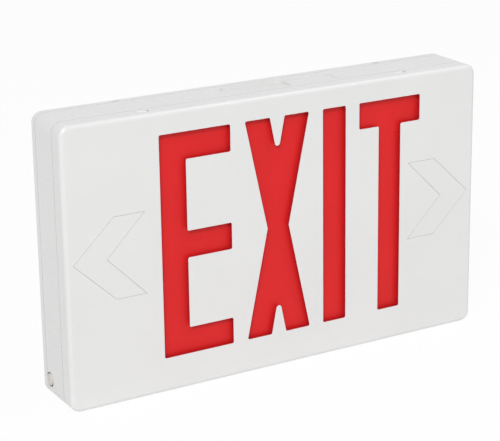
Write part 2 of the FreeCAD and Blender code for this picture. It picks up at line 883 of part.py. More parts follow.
def build_pilot_collar(piece):
    """Hole and collar of the pilot lamp in the bottom wall."""
    spot = [(-size.pilot_reach, -size.button_station)]
    floor = size.housing_wall - half_height
    collar = circles(size.pilot_radius + size.pilot_collar_wall, spot)
    piece.add("pilot_collar", collar, floor - size.housing_wall / 2,
              floor + size.pilot_collar_height, "z")
    hole = circles(size.pilot_radius + size.stake_clearance, spot)
    piece.cut("pilot_hole", hole, -half_height, floor + size.pilot_collar_height, "z")


def build_rear_cover():
    """Back tray with the wire entry, the box slots, the keyholes and the inner posts."""
    piece = Piece("rear_cover")
    piece.add("block", ring(0, size.corner_radius), wall_face, size.cover_depth)
    piece.round("back_edge", size.back_edge_radius, at_station(0))
    hollow = ring(rim_inset, size.corner_radius - rim_inset)
    piece.cut("hollow", hollow, plate_front, size.cover_depth)
    # round wire entry with its collar
    centre = [(0, 0)]
    collar = circles(size.entry_radius + size.entry_wall, centre)
    piece.add("entry_collar", collar, plate_front, size.entry_length)
    piece.cut("entry", circles(size.entry_radius, centre), wall_face, size.entry_length)
    # slots that match a wall box, and two keyholes above
    upright = size.box_slot_spacing_upright / 2
    level = size.box_slot_spacing_level / 2
    upright_slots = slots(size.box_slot_radius, size.box_slot_length,
                          [(0, upright), (0, -upright)], upright=True)
    piece.cut("upright_slots", upright_slots, wall_face, plate_front)
    level_slots = slots(size.box_slot_radius, size.box_slot_length, [(level, 0), (-level, 0)])
    piece.cut("level_slots", level_slots, wall_face, plate_front)
    heads = [(side * size.keyhole_reach, size.keyhole_height) for side in (-1, 1)]
    head_holes = circles(size.keyhole_head_radius, heads)
    piece.cut("keyhole_heads", head_holes, wall_face, plate_front)
    neck_length = size.keyhole_rise + 2 * size.keyhole_neck_radius
    necks = [(x, z + size.keyhole_rise / 2) for x, z in heads]
    neck_slots = slots(size.keyhole_neck_radius, neck_length, necks, upright=True)
    piece.cut("keyhole_necks", neck_slots, wall_face, plate_front)
    # posts for the driver board and for the battery strap
    spots = board_screw_spots + strap_screw_spots
    piece.add("posts", circles(size.standoff_radius, spots), plate_front, board_back)
    pilots = circles(size.screw_shank_radius + size.pilot_clearance, spots)
    piece.cut("post_pilots", pilots, board_back - size.standoff_height, board_back)
    build_battery_cradle(piece)
    # windows in the rim that the housing's small hooks snap into
    top = size.cover_depth - size.back_window_setback
    for side, name in ((-1, "bottom"), (1, "top")):
        for x, tag in ((-1, "left"), (1, "right")):
            window = rectangle(size.back_window_width, 2 * rim_inset, 0,
                               x * size.back_hook_spacing / 2, side * half_height)
            piece.cut(f"window_{name}_{tag}", window, top - size.back_window_height, top)
    piece.round("seam_edge", size.seam_edge_radius, outermost_at(size.cover_depth))


def cell_spots():
    """Centres of the three cells in Y and Z."""
    return [(-size.battery_station, size.battery_z + i * 2 * size.cell_radius)
            for i in (-1, 0, 1)]


def build_battery_cradle(piece):
    """Two saddles on the rear cover that the battery lies in."""
    top = size.battery_station - size.cell_radius / 2 - size.cradle_clearance
    for side, name in ((-1, "left"), (1, "right")):
        middle = size.battery_x + side * size.cradle_spacing / 2
        low, high = middle - size.cradle_thickness / 2, middle + size.cradle_thickness / 2
        rib = rectangle(top - plate_front, size.cradle_span, 0, -(top + plate_front) / 2,
                        size.battery_z)
        piece.add(f"saddle_{name}", rib, low, high, "x")
        seats = circles(size.cell_radius + size.cradle_clearance, cell_spots())
        piece.cut(f"saddle_{name}_seats", seats, low, high, "x")


# ---------------------------------------------------------------- lamp chamber


def build_tray():
    """White inner tray behind the lamp boards, screwed to the housing's ledge."""
    piece = Piece("reflector_tray")
    step = mouth_inset + size.tray_clearance
    piece.add("sheet", ring(step, size.inner_corner_radius), tray_back, tray_front)
    # stiffening ribs between the two boards
    for side, name in ((-1, "low"), (1, "high")):
        level = side * size.tray_rib_spacing / 2
        rib = rectangle(size.lamp_board_length, size.tray_rib_thickness, 0, 0, level)
        piece.add(f"rib_{name}", rib, tray_front, tray_front + size.tray_rib_height)
    screw_hole = size.screw_shank_radius + size.screw_clearance
    piece.cut("ledge_holes", circles(screw_hole, tray_screw_spots), tray_back, tray_front)
    lamp_pilot = size.screw_shank_radius + size.pilot_clearance
    piece.cut("lamp_pilots", circles(lamp_pilot, lamp_screw_spots), tray_back, tray_front)
    # slots for the lamp leads, longer than the leads need
    for side, name in ((-1, "bottom"), (1, "top")):
        level = side * (size.lamp_board_offset + size.lead_slot_rise)
        slot = rectangle(size.lead_slot_width, size.lead_slot_height, size.lead_slot_radius,
                         lead_slot_x, level)
        piece.cut(f"lead_slot_{name}", slot, tray_back, tray_front)


def build_lamp_board(name, side):
    """Long narrow board of one LED row, and the LEDs on it."""
    level = side * size.lamp_board_offset
    board = Piece(f"lamp_board_{name}")
    strip = rectangle(size.lamp_board_length, size.lamp_board_height, 0, 0, level)
    board.add("strip", strip, tray_front, lamp_front)
    holes = [(x, z) for x, z in lamp_screw_spots if z * side > 0]
    hole_radius = size.screw_shank_radius + size.screw_clearance
    board.cut("screw_holes", circles(hole_radius, holes), tray_front, lamp_front)

    leds = Piece(f"lamp_leds_{name}")
    spots = row_spots(int(size.led_count), size.led_pitch, level)
    boxes = [
        [(x - size.led_length / 2, z - size.led_height / 2),
         (x + size.led_length / 2, z - size.led_height / 2),
         (x + size.led_length / 2, z + size.led_height / 2),
         (x - size.led_length / 2, z + size.led_height / 2)]
        for x, z in spots
    ]
    leds.add("bodies", outlines(boxes, [0.0] * len(boxes)), lamp_front,
             lamp_front + size.led_thickness)


# ---------------------------------------------------------------- screws


def build_screws(name, spots, seat, length):
    """One node of equal slotted screws whose heads sit at a station, pointing at the wall."""
    piece = Piece(name)
    head_top = seat + size.screw_head_height
    piece.add("heads", circles(size.screw_head_radius, spots), seat, head_top)
    piece.add("shanks", circles(size.screw_shank_radius, spots), seat - length, seat)
    for i, (x, z) in enumerate(spots):
        slot = rectangle(size.screw_slot_length, size.screw_slot_width, 0, x, z)
        piece.cut(f"slot_{i}", slot, head_top - size.screw_slot_depth, head_top)


# ---------------------------------------------------------------- driver board


def on_board(x, z):
    """A spot given from the driver board's centre."""
    return size.board_centre_x + x, size.board_centre_z + z


def build_driver_board():
    """Circuit board of the mains driver and the battery charger, on four posts."""
    piece = Piece("driver_board")
    sheet_outline = rectangle(size.board_length, size.board_height, 0,
                              size.board_centre_x, size.board_centre_z)
    piece.add("sheet", sheet_outline, board_back, board_front)
    holes = circles(size.screw_shank_radius + size.screw_clearance, board_screw_spots)
    piece.cut("screw_holes", holes, board_back, board_front)


def build_transformer():
    """Laminated core with its wound coil, standing on the board."""
    x, z = on_board(size.core_x, size.core_z)
    core = Piece("transformer_core")
    end = board_front + size.core_thickness
    core.add("frame", rectangle(size.core_length, size.core_height, 0, x, z), board_front, end)
    window = size.core_window
    leg = size.core_length / 4
    for side in (-1, 1):
        place = x + side * (leg / 2 + window / 2)
        opening = rectangle(window, size.core_height - window, 0, place, z)
        core.cut(f"window_{'left' if side < 0 else 'right'}", opening, board_front, end)

    coil = Piece("transformer_coil")
    clear = size.coil_clearance
    outer = rectangle(leg + 2 * window - 2 * clear, size.core_height - window - 2 * clear,
                      size.coil_corner_radius, x, z)
    coil.add("winding", outer, board_front, end + size.coil_bulge)
    leg_slot = rectangle(leg + 2 * clear, size.core_height, 0, x, z)
    coil.cut("leg_slot", leg_slot, board_front, end + clear)


def build_capacitors():
    """Two upright electrolytic capacitors with a pressed groove near the base."""
    piece = Piece("filter_capacitors")
    x, z = on_board(size.capacitor_x, size.capacitor_z)
    spots = [(x, z), (x, z - size.capacitor_pitch)]
    groove_low = board_front + size.capacitor_groove_rise
    groove_high = groove_low + size.capacitor_groove_height
    top = board_front + size.capacitor_length
    full = size.capacitor_radius
    piece.add("base", circles(full, spots), board_front, groove_low)
    piece.add("groove", circles(full - size.capacitor_groove, spots), groove_low, groove_high)
    piece.add("can", circles(full, spots), groove_high, top)
    vent = circles(size.capacitor_vent_radius, spots)
    piece.cut("vent", vent, top - size.capacitor_groove, top)


def build_block(name, spot, length, height, thickness, radius=size.block_corner_radius):
    """A moulded component: a block with rounded upright edges, standing on the board."""
    piece = Piece(name)
    body = rectangle(length, height, radius, *spot)
    piece.add("body", body, board_front, board_front + thickness)


def build_blocks():
    """Relay, film capacitor, bridge rectifier and control chip."""
    build_block("transfer_relay", on_board(size.relay_x, size.relay_z), size.relay_length,
                size.relay_height, size.relay_thickness)
    build_block("film_capacitor", on_board(size.film_x, size.film_z), size.film_length,
                size.film_height, size.film_thickness, size.film_corner_radius)
    build_block("bridge_rectifier", on_board(size.rectifier_x, size.rectifier_z),
                size.rectifier_length, size.rectifier_height, size.rectifier_thickness)
    build_block("control_chip", on_board(size.chip_x, size.chip_z), size.chip_length,
                size.chip_height, size.chip_thickness)


def build_fuse():
    """Glass tube fuse with its metal caps, in two spring clips."""
    x, z = on_board(size.fuse_x, size.fuse_z)
    station = board_front + size.fuse_radius + 2 * size.fuse_clip_wall
    half = size.fuse_length / 2
    tube = Piece("fuse")
    tube_spot = [(-station, z)]
    tube.add("glass", circles(size.fuse_radius - size.fuse_cap_wall, tube_spot),
             x - half, x + half, "x")
    cap = circles(size.fuse_radius, tube_spot)
    tube.add("cap_left", cap, x - half, x - half + size.fuse_cap_length, "x")
    tube.add("cap_right", cap, x + half - size.fuse_cap_length, x + half, "x")

    clips = Piece("fuse_clips")
    wall = size.fuse_clip_wall
    outer = size.fuse_radius + wall
    for side in (-1, 1):
        middle = x + side * (half - size.fuse_cap_length / 2)
        low, high = middle - size.fuse_clip_width / 2, middle + size.fuse_clip_width / 2
        name = "left" if side < 0 else "right"
        block = rectangle(station - board_front + wall, 2 * outer, 0,
                          -(station + board_front + wall) / 2, z)
        clips.add(f"block_{name}", block, low, high, "x")
        clips.cut(f"seat_{name}", circles(size.fuse_radius, tube_spot), low, high, "x")


def build_terminal_block():
    """Three-pole block where the supply wires end: mouths at the side, screws in front."""
    piece = Piece("terminal_block")
    x, z = on_board(size.terminal_x, size.terminal_z)
    poles = [z + i * size.terminal_pole_pitch for i in (-1, 0, 1)]
    height = 3 * size.terminal_pole_pitch
    end = board_front + size.terminal_thickness
    piece.add("body", rectangle(size.terminal_width, height, 0, x, z), board_front, end)
    mouth_station = board_front + size.terminal_mouth_rise
    mouths = circles(size.terminal_mouth_radius, [(-mouth_station, pole) for pole in poles])
    left = x - size.terminal_width / 2
    piece.cut("mouths", mouths, left, left + size.terminal_mouth_depth, "x")
    wells = circles(size.terminal_screw_radius, [(x, pole) for pole in poles])
    piece.cut("wells", wells, end - size.terminal_well_depth, end)


def build_resistors():
    """Axial resistors, side by side, lying on the board."""
    piece = Piece("resistors")
    x, z = on_board(size.resistor_x, size.resistor_z)
    station = board_front + size.resistor_radius
    levels = row_spots(int(size.resistor_count), size.resistor_pitch, 0)
    spots = [(-station, z + rise) for rise, _ in levels]
    half = size.resistor_length / 2
    piece.add("bodies", circles(size.resistor_radius, spots), x - half, x + half, "x")


def build_battery_connector():
    """Two-pin socket on the board, open to the front, with the plug pushed into it."""
    x, z = on_board(size.socket_x, size.socket_z)
    socket = Piece("battery_socket")
    end = board_front + size.socket_thickness
    socket.add("body", rectangle(size.socket_length, size.socket_height, 0, x, z),
               board_front, end)
    inner_length = size.socket_length - 2 * size.socket_wall
    inner_height = size.socket_height - 2 * size.socket_wall
    floor = board_front + size.socket_wall
    socket.cut("cavity", rectangle(inner_length, inner_height, 0, x, z), floor, end)
    plug = Piece("battery_plug")
    clear = 2 * size.plug_clearance
    body = rectangle(inner_length - clear, inner_height - clear, 0, x, z)
    plug.add("body", body, floor, end + size.plug_stand_out)
    return x, z, end + size.plug_stand_out


# ---------------------------------------------------------------- battery


def build_battery():
    """Three cells in one shrunk sleeve."""
    piece = Piece("battery_pack")
    left = size.battery_x - size.cell_length / 2
    right = size.battery_x + size.cell_length / 2
    for i, spot in enumerate(cell_spots()):
        piece.add(f"cell_{i}", circles(size.cell_radius, [spot]), left, right, "x")
    web = rectangle(size.cell_radius, 4 * size.cell_radius, 0,
                    -size.battery_station, size.battery_z)
    piece.add("sleeve", web, left, right, "x")


def build_strap():
    """Sprung metal strap over the battery, with a foot on a post at each end."""
    piece = Piece("battery_strap")
    thick = size.strap_thickness
    gap = size.strap_clearance
    top_in = size.battery_station + size.cell_radius
    top_out = top_in + thick
    in_reach = 3 * size.cell_radius + gap
    out_reach = in_reach + thick
    foot = out_reach + size.strap_foot
    spots = [
        (board_back, -foot), (board_back, -in_reach), (top_in, -in_reach),
        (top_in, in_reach), (board_back, in_reach), (board_back, foot),
        (board_back + thick, foot), (board_back + thick, out_reach), (top_out, out_reach),
        (top_out, -out_reach), (board_back + thick, -out_reach), (board_back + thick, -foot),
    ]
    section = outline([(-y, size.battery_z + z) for y, z in spots])
    piece.add("band", section, size.battery_x - size.strap_width / 2,
              size.battery_x + size.strap_width / 2, "x")
    holes = circles(size.screw_shank_radius + size.screw_clearance, strap_screw_spots)
    piece.cut("screw_holes", holes, board_back, board_back + thick)


# ---------------------------------------------------------------- button, switch and pilot


def build_button():
    """Test button: domed cap, retaining flange and stem, turned about its own axis."""
    piece = Piece("test_button")
    wall = -half_width
    edge = float(size.button_edge_radius)
    face = wall - size.button_stand_out
    shoulder = wall + size.button_shoulder + size.button_flange_clearance
    flange_end = shoulder + size.button_flange_thickness
    stem_end = wall + size.button_stem_end
    cap, flange, stem = size.button_radius, size.button_flange_radius, size.button_stem_radius
    profile = [(face, 0), (stem_end, 0), (stem_end, stem), (flange_end, stem),
               (flange_end, flange), (shoulder, flange), (shoulder, cap), (face, cap)]

    def draw(sketch):
        draw_round_outline(sketch, profile, [0.0] * 7 + [edge])
        bind(sketch, "AttachmentOffset.Base.y", button_z)

    piece.turn("profile", draw, size.button_station, "H_Axis")

    plunger = Piece("switch_plunger")
    plunger.add("pin", circles(size.plunger_radius, [button_spot]), stem_end,
                stem_end + size.plunger_length, "x")


def build_switch():
    """Momentary switch behind the button, on its own small board."""
    switch = Piece("test_switch")
    square = rectangle(size.switch_size, size.switch_size, size.switch_corner_radius, *button_spot)
    switch.add("case", square, switch_left, switch_board_left, "x")
    bore = circles(size.plunger_radius + size.plunger_clearance, [button_spot])
    switch.cut("bore", bore, switch_left, switch_left + size.switch_bore_depth, "x")

    board = Piece("switch_board")
    floor = mouth_inset - half_height
    middle = floor + size.switch_rib_clearance + size.switch_board_height / 2
    card = rectangle(size.switch_board_width, size.switch_board_height, 0,
                     -size.button_station, middle)
    board.add("card", card, switch_board_left, switch_board_left + size.board_thickness, "x")


def build_pilot_lamp():
    """Small round LED whose dome looks down through the bottom wall."""
    piece = Piece("pilot_lamp")
    seat = size.housing_wall - half_height + size.pilot_collar_height
    radius = size.pilot_radius
    tip = size.pilot_setback - half_height
    dome_start = tip + radius
    top = seat + size.pilot_flange_thickness
    flange = size.pilot_flange_radius

    def draw(sketch):
        bind(sketch, "AttachmentOffset.Base.x", -size.pilot_reach)
        spots = [(radius, dome_start), (radius, seat), (flange, seat), (flange, top), (0, top),
                 (0, tip)]
        points = [FreeCAD.Vector(float(x), float(z), 0) for x, z in spots]
        for start, end in zip(points, points[1:]):
            sketch.addGeometry(Part.LineSegment(start, end), False)
        slant = float(radius) * math.sqrt(0.5)
        middle = FreeCAD.Vector(slant, float(dome_start) - slant, 0)
        sketch.addGeometry(Part.Arc(points[-1], middle, points[0]), False)

    piece.turn("profile", draw, size.button_station, "V_Axis")


def build_bushing():
    """Snap bushing that lines the wire entry, pushed in from inside."""
    piece = Piece("wire_bushing")
    outer = size.entry_radius - size.bushing_clearance
    inner = outer - size.bushing_wall
    seat = size.entry_length
    centre = [(0, 0)]
    piece.add("sleeve", circles(outer, centre), wall_face, seat)
    flange = circles(size.entry_radius + size.bushing_flange, centre)
    piece.add("flange", flange, seat, seat + size.bushing_flange_thickness)
    piece.cut("bore", circles(inner, centre), wall_face,
              seat + size.bushing_flange_thickness)


# ---------------------------------------------------------------- internal leads


def lead_path(spots, bend):
    """A wire of straight runs joined by tangent arcs, through spots in X, station and Z."""
    points = [FreeCAD.Vector(float(x), -float(station), float(z)) for x, station, z in spots]
    edges = []
    start = points[0]
    for before, corner, after in zip(points, points[1:], points[2:]):
        back = (before - corner).normalize()
        ahead = (after - corner).normalize()
        half = back.getAngle(ahead) / 2
        shortest = min((before - corner).Length, (after - corner).Length)
        radius = min(float(bend), 0.45 * shortest * math.tan(half))
        cut = radius / math.tan(half)
        middle = corner + (back + ahead).normalize() * (radius / math.sin(half) - radius)
        edges.append(Part.LineSegment(start, corner + back * cut).toShape())
        start = corner + ahead * cut
        edges.append(Part.Arc(corner + back * cut, middle, start).toShape())
    edges.append(Part.LineSegment(start, points[-1]).toShape())
    return Part.Wire(edges)


def build_leads(name, routes):
    """One node of insulated wires, each swept along its own route."""
    wires = []
    for route in routes:
        path = lead_path(route, size.lead_bend)
        first = path.Edges[0]
        heading = first.tangentAt(first.FirstParameter)
        start = first.valueAt(first.FirstParameter)
        ring_edge = Part.Circle(start, heading, float(size.lead_radius)).toShape()
        wires.append(path.makePipeShell([Part.Wire(ring_edge)], True, True))
    feature = doc.addObject("Part::Feature", name)
    feature.Label = name
    feature.Shape = Part.makeCompound(wires) if len(wires) > 1 else wires[0]
    NODES.append(feature)


def pair(route):
    """Two wires side by side, half a pitch to each side of a route in Z."""
    step = size.lead_pitch / 2
    return [[(x, station, z + side * step) for x, station, z in route] for side in (-1, 1)]


def build_battery_leads(plug_x, plug_z, plug_end):
    """From the battery's end, low across the rear cover, to the plug's front face."""
    start = size.battery_x + size.cell_length / 2
    low = board_front + 2 * size.lead_radius
    high = plug_end + 2.5
    build_leads("battery_leads", pair([
        (start, size.battery_station, size.battery_z - 14),
        (start + 12, size.battery_station, size.battery_z - 14),
        (start + 28, low, plug_z),
        (plug_x - 20, low, plug_z),
        (plug_x - 8, high, plug_z),
        (plug_x, high, plug_z),
        (plug_x, plug_end, plug_z),
    ]))


def build_lamp_leads():
    """From the driver board, through the tray's holes, to the ends of the lamp boards."""
    routes = []
    turn = tray_back - size.lamp_lead_drop
    on_lamp_board = lamp_front + size.lead_radius
    for side in (-1, 1):
        start_x, start_z = on_board(size.lamp_lead_x, side * size.lamp_lead_z)
        level = side * size.lamp_board_offset
        routes += pair([
            (start_x, board_front, start_z),
            (start_x, turn, start_z),
            (lead_slot_x, turn, level),
            (lead_slot_x, on_lamp_board, level),
            (lamp_board_end - size.lamp_lead_overlap, on_lamp_board, level),
        ])
    build_leads("lamp_leads", routes)


def build_switch_leads():
    """From the switch board and from the pilot lamp, along the bottom, to the driver board."""
    low = board_back + 2 * size.lead_radius
    card = switch_board_left + size.board_thickness
    end_x, end_z = on_board(-30.0, -31.0)
    build_leads("switch_leads", pair([
        (card, size.button_station, button_z + 4),
        (card + 18, size.button_station, button_z + 4),
        (card + 38, low, button_z + 8),
        (end_x - 22, low, end_z - 11),
        (end_x, low + 3, end_z - 6),
        (end_x, low + 4, end_z),
        (end_x, board_front, end_z),
    ]))
    base = size.housing_wall - half_height + size.pilot_collar_height
    base = base + size.pilot_flange_thickness
    end_x = end_x + 6
    routes = []
    for side in (-1, 1):
        step = side * size.lead_pitch / 2
        x = step - size.pilot_reach
        routes.append([
            (x, size.button_station, base),
            (x, size.button_station, base + 5 - step),
            (x + 16, low, base + 8 - step),
            (end_x - 20, low, end_z - 17 - step),
            (end_x + step, low + 3, end_z - 8),
            (end_x + step, low + 4, end_z),
            (end_x + step, board_front, end_z),
        ])
    build_leads("pilot_leads", routes)


# ---------------------------------------------------------------- assembly


def build():
    build_faceplate()
    build_arrow(-1, "chevron_left")
    build_arrow(1, "chevron_right")
    build_red_panel()
    build_housing()
    build_rear_cover()
    build_tray()
    build_lamp_board("top", 1)
    build_lamp_board("bottom", -1)
    build_screws("tray_screws", tray_screw_spots, tray_front, size.screw_length)
    build_screws("lamp_screws", lamp_screw_spots, lamp_front,
                 size.lamp_board_thickness + size.tray_thickness)
    build_screws("board_screws", board_screw_spots, board_front,
                 size.board_thickness + size.screw_reach)
    build_screws("strap_screws", strap_screw_spots, board_back + size.strap_thickness,
                 size.strap_thickness + size.screw_reach)
    build_driver_board()
    build_transformer()
    build_capacitors()
    build_blocks()
    build_fuse()
    build_resistors()
    build_terminal_block()
    plug_x, plug_z, plug_end = build_battery_connector()
    build_battery()
    build_strap()
    build_button()
    build_switch()
    build_pilot_lamp()
    build_bushing()
    build_battery_leads(plug_x, plug_z, plug_end)
    build_lamp_leads()
    build_switch_leads()


def check():
    """Stops if any object failed or any piece has no sound shape."""
    for item in doc.Objects:
        if "Invalid" in item.State or "Error" in item.State:
            raise RuntimeError(f"{item.Name} is {item.State}")
    for node in NODES:
        if node.Shape.isNull() or not node.Shape.isValid():
            raise RuntimeError(f"{node.Label} has no valid shape")


def export():
    """Writes one STEP file for each piece."""
    os.makedirs("parts", exist_ok=True)
    for node in NODES:
        node.Shape.exportStep(os.path.join("parts", node.Label + ".step"))


build()
doc.recompute()
check()
export()
print(len(NODES), "pieces written")
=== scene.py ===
import json
import math

import bpy
from mathutils import Euler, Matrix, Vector


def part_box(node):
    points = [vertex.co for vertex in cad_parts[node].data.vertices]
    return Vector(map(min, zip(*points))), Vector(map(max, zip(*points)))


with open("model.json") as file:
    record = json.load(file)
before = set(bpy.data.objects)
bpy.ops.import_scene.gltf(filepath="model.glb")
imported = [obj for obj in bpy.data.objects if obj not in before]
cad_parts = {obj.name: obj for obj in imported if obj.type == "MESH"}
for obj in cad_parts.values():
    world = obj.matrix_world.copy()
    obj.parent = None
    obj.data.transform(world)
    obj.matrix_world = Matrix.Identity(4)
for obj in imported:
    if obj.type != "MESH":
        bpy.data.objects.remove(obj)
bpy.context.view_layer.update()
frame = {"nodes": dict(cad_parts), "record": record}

# Looks of the emergency exit light. The object's frame is in metres, with X to the right,
# Z up, the wall at Y = 0 and the face looking along -Y. Every pattern is measured in that
# frame, through the nodes' own object coordinates. Depth is the distance from the wall.

MM = 0.001


# ---------------------------------------------------------------- node materials


class Nodes:
    """Makes and joins the nodes of one tree."""

    def __init__(self, tree):
        self.tree = tree

    def node(self, kind, inputs=None, **settings):
        """A new node. inputs holds what each socket gets, by the socket's name or number."""
        made = self.tree.nodes.new(kind)
        for name, value in settings.items():
            setattr(made, name, value)
        for socket, value in (inputs or {}).items():
            self.feed(made.inputs[socket], value)
        return made

    def feed(self, socket, value):
        """Gives a socket another node's output, or a plain number, vector or colour."""
        if isinstance(value, bpy.types.NodeSocket):
            self.tree.links.new(value, socket)
        elif socket.type == "RGBA":
            socket.default_value = (*value, 1)
        else:
            socket.default_value = value

    def math(self, operation, first, second=0.0):
        """The result of a sum or a comparison. A comparison gives 1 where it holds."""
        return self.node("ShaderNodeMath", {0: first, 1: second}, operation=operation).outputs[0]

    def seen_directly(self):
        """1 for rays from the camera, and for rays off gloss or through glass."""
        path = self.node("ShaderNodeLightPath").outputs
        gloss = self.math("MAXIMUM", path["Is Glossy Ray"], path["Is Transmission Ray"])
        return self.math("MAXIMUM", path["Is Camera Ray"], gloss)


class Finish(Nodes):
    """One node material around a Principled shader, with its textures in object space."""

    def __init__(self, name, roughness, metallic=0.0, **sockets):
        self.material = bpy.data.materials.new(name)
        self.material.use_nodes = True
        super().__init__(self.material.node_tree)
        self.shader = self.tree.nodes["Principled BSDF"]
        self.shader.inputs["Roughness"].default_value = roughness
        self.shader.inputs["Metallic"].default_value = metallic
        for socket, value in sockets.items():
            self.shader.inputs[socket.replace("_", " ")].default_value = value
        coordinates = self.node("ShaderNodeTexCoord").outputs
        self.place, self.normal = coordinates["Object"], coordinates["Normal"]

    def set(self, socket, output):
        """Feeds one of the shader's sockets."""
        self.feed(self.shader.inputs[socket], output)

    def axis(self, name, vector=None):
        """One coordinate of a vector, or of the object space in metres."""
        source = vector or self.place
        return self.node("ShaderNodeSeparateXYZ", {"Vector": source}).outputs[name]

    def stretched(self, scale):
        """Object coordinates scaled by a vector."""
        return self.node("ShaderNodeMapping", {"Vector": self.place, "Scale": scale}).outputs[0]

    def noise(self, size, detail=2.0, place=None, distortion=0.0):
        """Noise whose lumps are about size metres across."""
        made = self.node("ShaderNodeTexNoise", {
            "Vector": place or self.place, "Scale": 1 / size, "Detail": detail,
            "Distortion": distortion,
        })
        return made.outputs["Fac"]

    def ramp(self, factor, stops, interpolation="LINEAR"):
        """A colour ramp with (position, colour) stops."""
        made = self.node("ShaderNodeValToRGB", {"Fac": factor})
        ramp = made.color_ramp
        ramp.interpolation = interpolation
        while len(ramp.elements) < len(stops):
            ramp.elements.new(1.0)
        for element, (position, colour) in zip(ramp.elements, stops):
            element.position = position
            element.color = (*colour, 1)
        return made.outputs["Color"]

    def tones(self, factor, dark, light, start=0.3, end=0.7):
        """Colour that runs from dark to light over a texture's useful range."""
        return self.ramp(factor, [(start, dark), (end, light)])

    def spread(self, value, low, high, start=0.3, end=0.7):
        """Maps a texture's useful range to low..high."""
        made = self.node("ShaderNodeMapRange", {
            "Value": value, "From Min": start, "From Max": end, "To Min": low, "To Max": high,
        })
        return made.outputs["Result"]

    def mix(self, factor, first, second):
        """Mixes two colours, each an output or a plain colour."""
        made = self.node("ShaderNodeMix", data_type="RGBA")
        # the colours' sockets share their names with those of the other data types
        for number, value in ((0, factor), (6, first), (7, second)):
            self.feed(made.inputs[number], value)
        return made.outputs[2]

    def between(self, value, low, high):
        """1 where a value lies between two limits."""
        above = self.math("GREATER_THAN", value, low)
        return self.math("MULTIPLY", above, self.math("LESS_THAN", value, high))

    def all_of(self, *masks):
        """1 where every mask is 1."""
        product = masks[0]
        for mask in masks[1:]:
            product = self.math("MULTIPLY", product, mask)
        return product

    def relief(self, height, depth):
        """Bump of a depth in metres, on top of any bump that is there already."""
        inputs = {"Height": height, "Distance": depth}
        earlier = self.shader.inputs["Normal"].links
        if earlier:
            inputs["Normal"] = earlier[0].from_socket
        self.set("Normal", self.node("ShaderNodeBump", inputs).outputs["Normal"])


def shade(colour, amount):
    """A colour made lighter or darker by a share."""
    return tuple(min(1.0, channel * (1 + amount)) for channel in colour)


# ---------------------------------------------------------------- kinds of finish


CASE_WHITE = (0.775, 0.778, 0.772)
PLASTIC_BLACK = (0.028, 0.028, 0.030)

# the two seams round the case, and the painted shade that darkens them
SEAM_DEPTHS = (32.0 * MM, 6.2 * MM)
SEAM_REACH = 0.5 * MM
SEAM_PAINTED_SHADE = 0.45
SEAM_SHADE_COLOUR = shade(CASE_WHITE, -0.55)

# the room that the letter openings take, and the red reflection and shade painted on their side
# walls
LEGEND_LEFT, LEGEND_RIGHT = -94 * MM, 98 * MM
LEGEND_HALF_HEIGHT = 85 * MM
LEGEND_WALL_START = 42.7 * MM
# the last letter's bar reaches over the arrow's column
TOP_BAR_START, TOP_BAR_RIGHT = 45 * MM, 120 * MM
PAINTED_WALL_RED = (0.42, 0.016, 0.022)
SIDE_FACING = 0.5

# the tips of the four hooks in the faceplate's windows, and the highlight painted on them
HOOK_SIDE = (95.1 * MM, 101.9 * MM)
HOOK_DEPTH = (35.1 * MM, 38.0 * MM)
HOOK_LEVEL = 94.5 * MM
HOOK_PAINTED_HIGHLIGHT = (0.95, 0.95, 0.94)

FUSE_CAP = 5 * MM
PAD_RADIUS = 0.16


def moulded(name, colour, roughness, grain=0.5 * MM, depth=0.012 * MM, patch=0.012, **sockets):
    """Moulded plastic: fine texture of the tool, faint flow patches, uneven gloss."""
    finish = Finish(name, roughness, **sockets)
    patches = finish.noise(60 * MM, 3.0)
    light, dark = shade(colour, patch), shade(colour, -patch)
    finish.set("Base Color", finish.tones(patches, dark, light, 0.35, 0.65))
    fine = finish.noise(grain, 3.0)
    finish.set("Roughness", finish.spread(fine, roughness - 0.05, roughness + 0.05))
    finish.relief(fine, depth)
    return finish


def casing(name):
    """White moulding, with painted shade in the seams, the panel's red painted on the stencil's
    edges as its reflection and shade, and a painted highlight on the hook tips.
    """
    finish = moulded(name, CASE_WHITE, 0.30, IOR=1.48)
    # long shallow sink marks over the ribs inside
    finish.relief(finish.noise(35 * MM, 1.0), 0.05 * MM)
    base = finish.shader.inputs["Base Color"].links[0].from_socket
    depth = finish.math("MULTIPLY", finish.axis("Y"), -1.0)
    # painted shade: the white is darkened towards each seam, where shade falls between the parts
    for seam in SEAM_DEPTHS:
        distance = finish.math("ABSOLUTE", finish.math("SUBTRACT", depth, seam))
        inside = finish.spread(distance, SEAM_PAINTED_SHADE, 0.0, 0.5 * SEAM_REACH, SEAM_REACH)
        base = finish.mix(inside, base, SEAM_SHADE_COLOUR)
    # painted red reflection and shade on the walls of the letter openings
    base = finish.mix(stencil_edges(finish, depth), base, PAINTED_WALL_RED)
    # painted highlight on the hook tips
    base = finish.mix(hook_tips(finish, depth), base, HOOK_PAINTED_HIGHLIGHT)
    finish.set("Base Color", base)
    return finish


def stencil_edges(finish, depth):
    """1 on the side walls of the letter openings, which face across the depth; the panel's red
    reflection and shade are painted there.
    """
    across = finish.axis("X")
    upright = finish.axis("Z")
    facing = finish.math("ABSOLUTE", finish.axis("Y", finish.normal))
    left_of_arrow = finish.math("LESS_THAN", across, LEGEND_RIGHT)
    on_bar = finish.math("GREATER_THAN", upright, TOP_BAR_START)
    return finish.all_of(
        finish.math("MAXIMUM", left_of_arrow, on_bar),
        finish.math("LESS_THAN", facing, SIDE_FACING),
        finish.math("GREATER_THAN", depth, LEGEND_WALL_START),
        finish.between(across, LEGEND_LEFT, TOP_BAR_RIGHT),
        finish.math("LESS_THAN", finish.math("ABSOLUTE", upright), LEGEND_HALF_HEIGHT),
    )


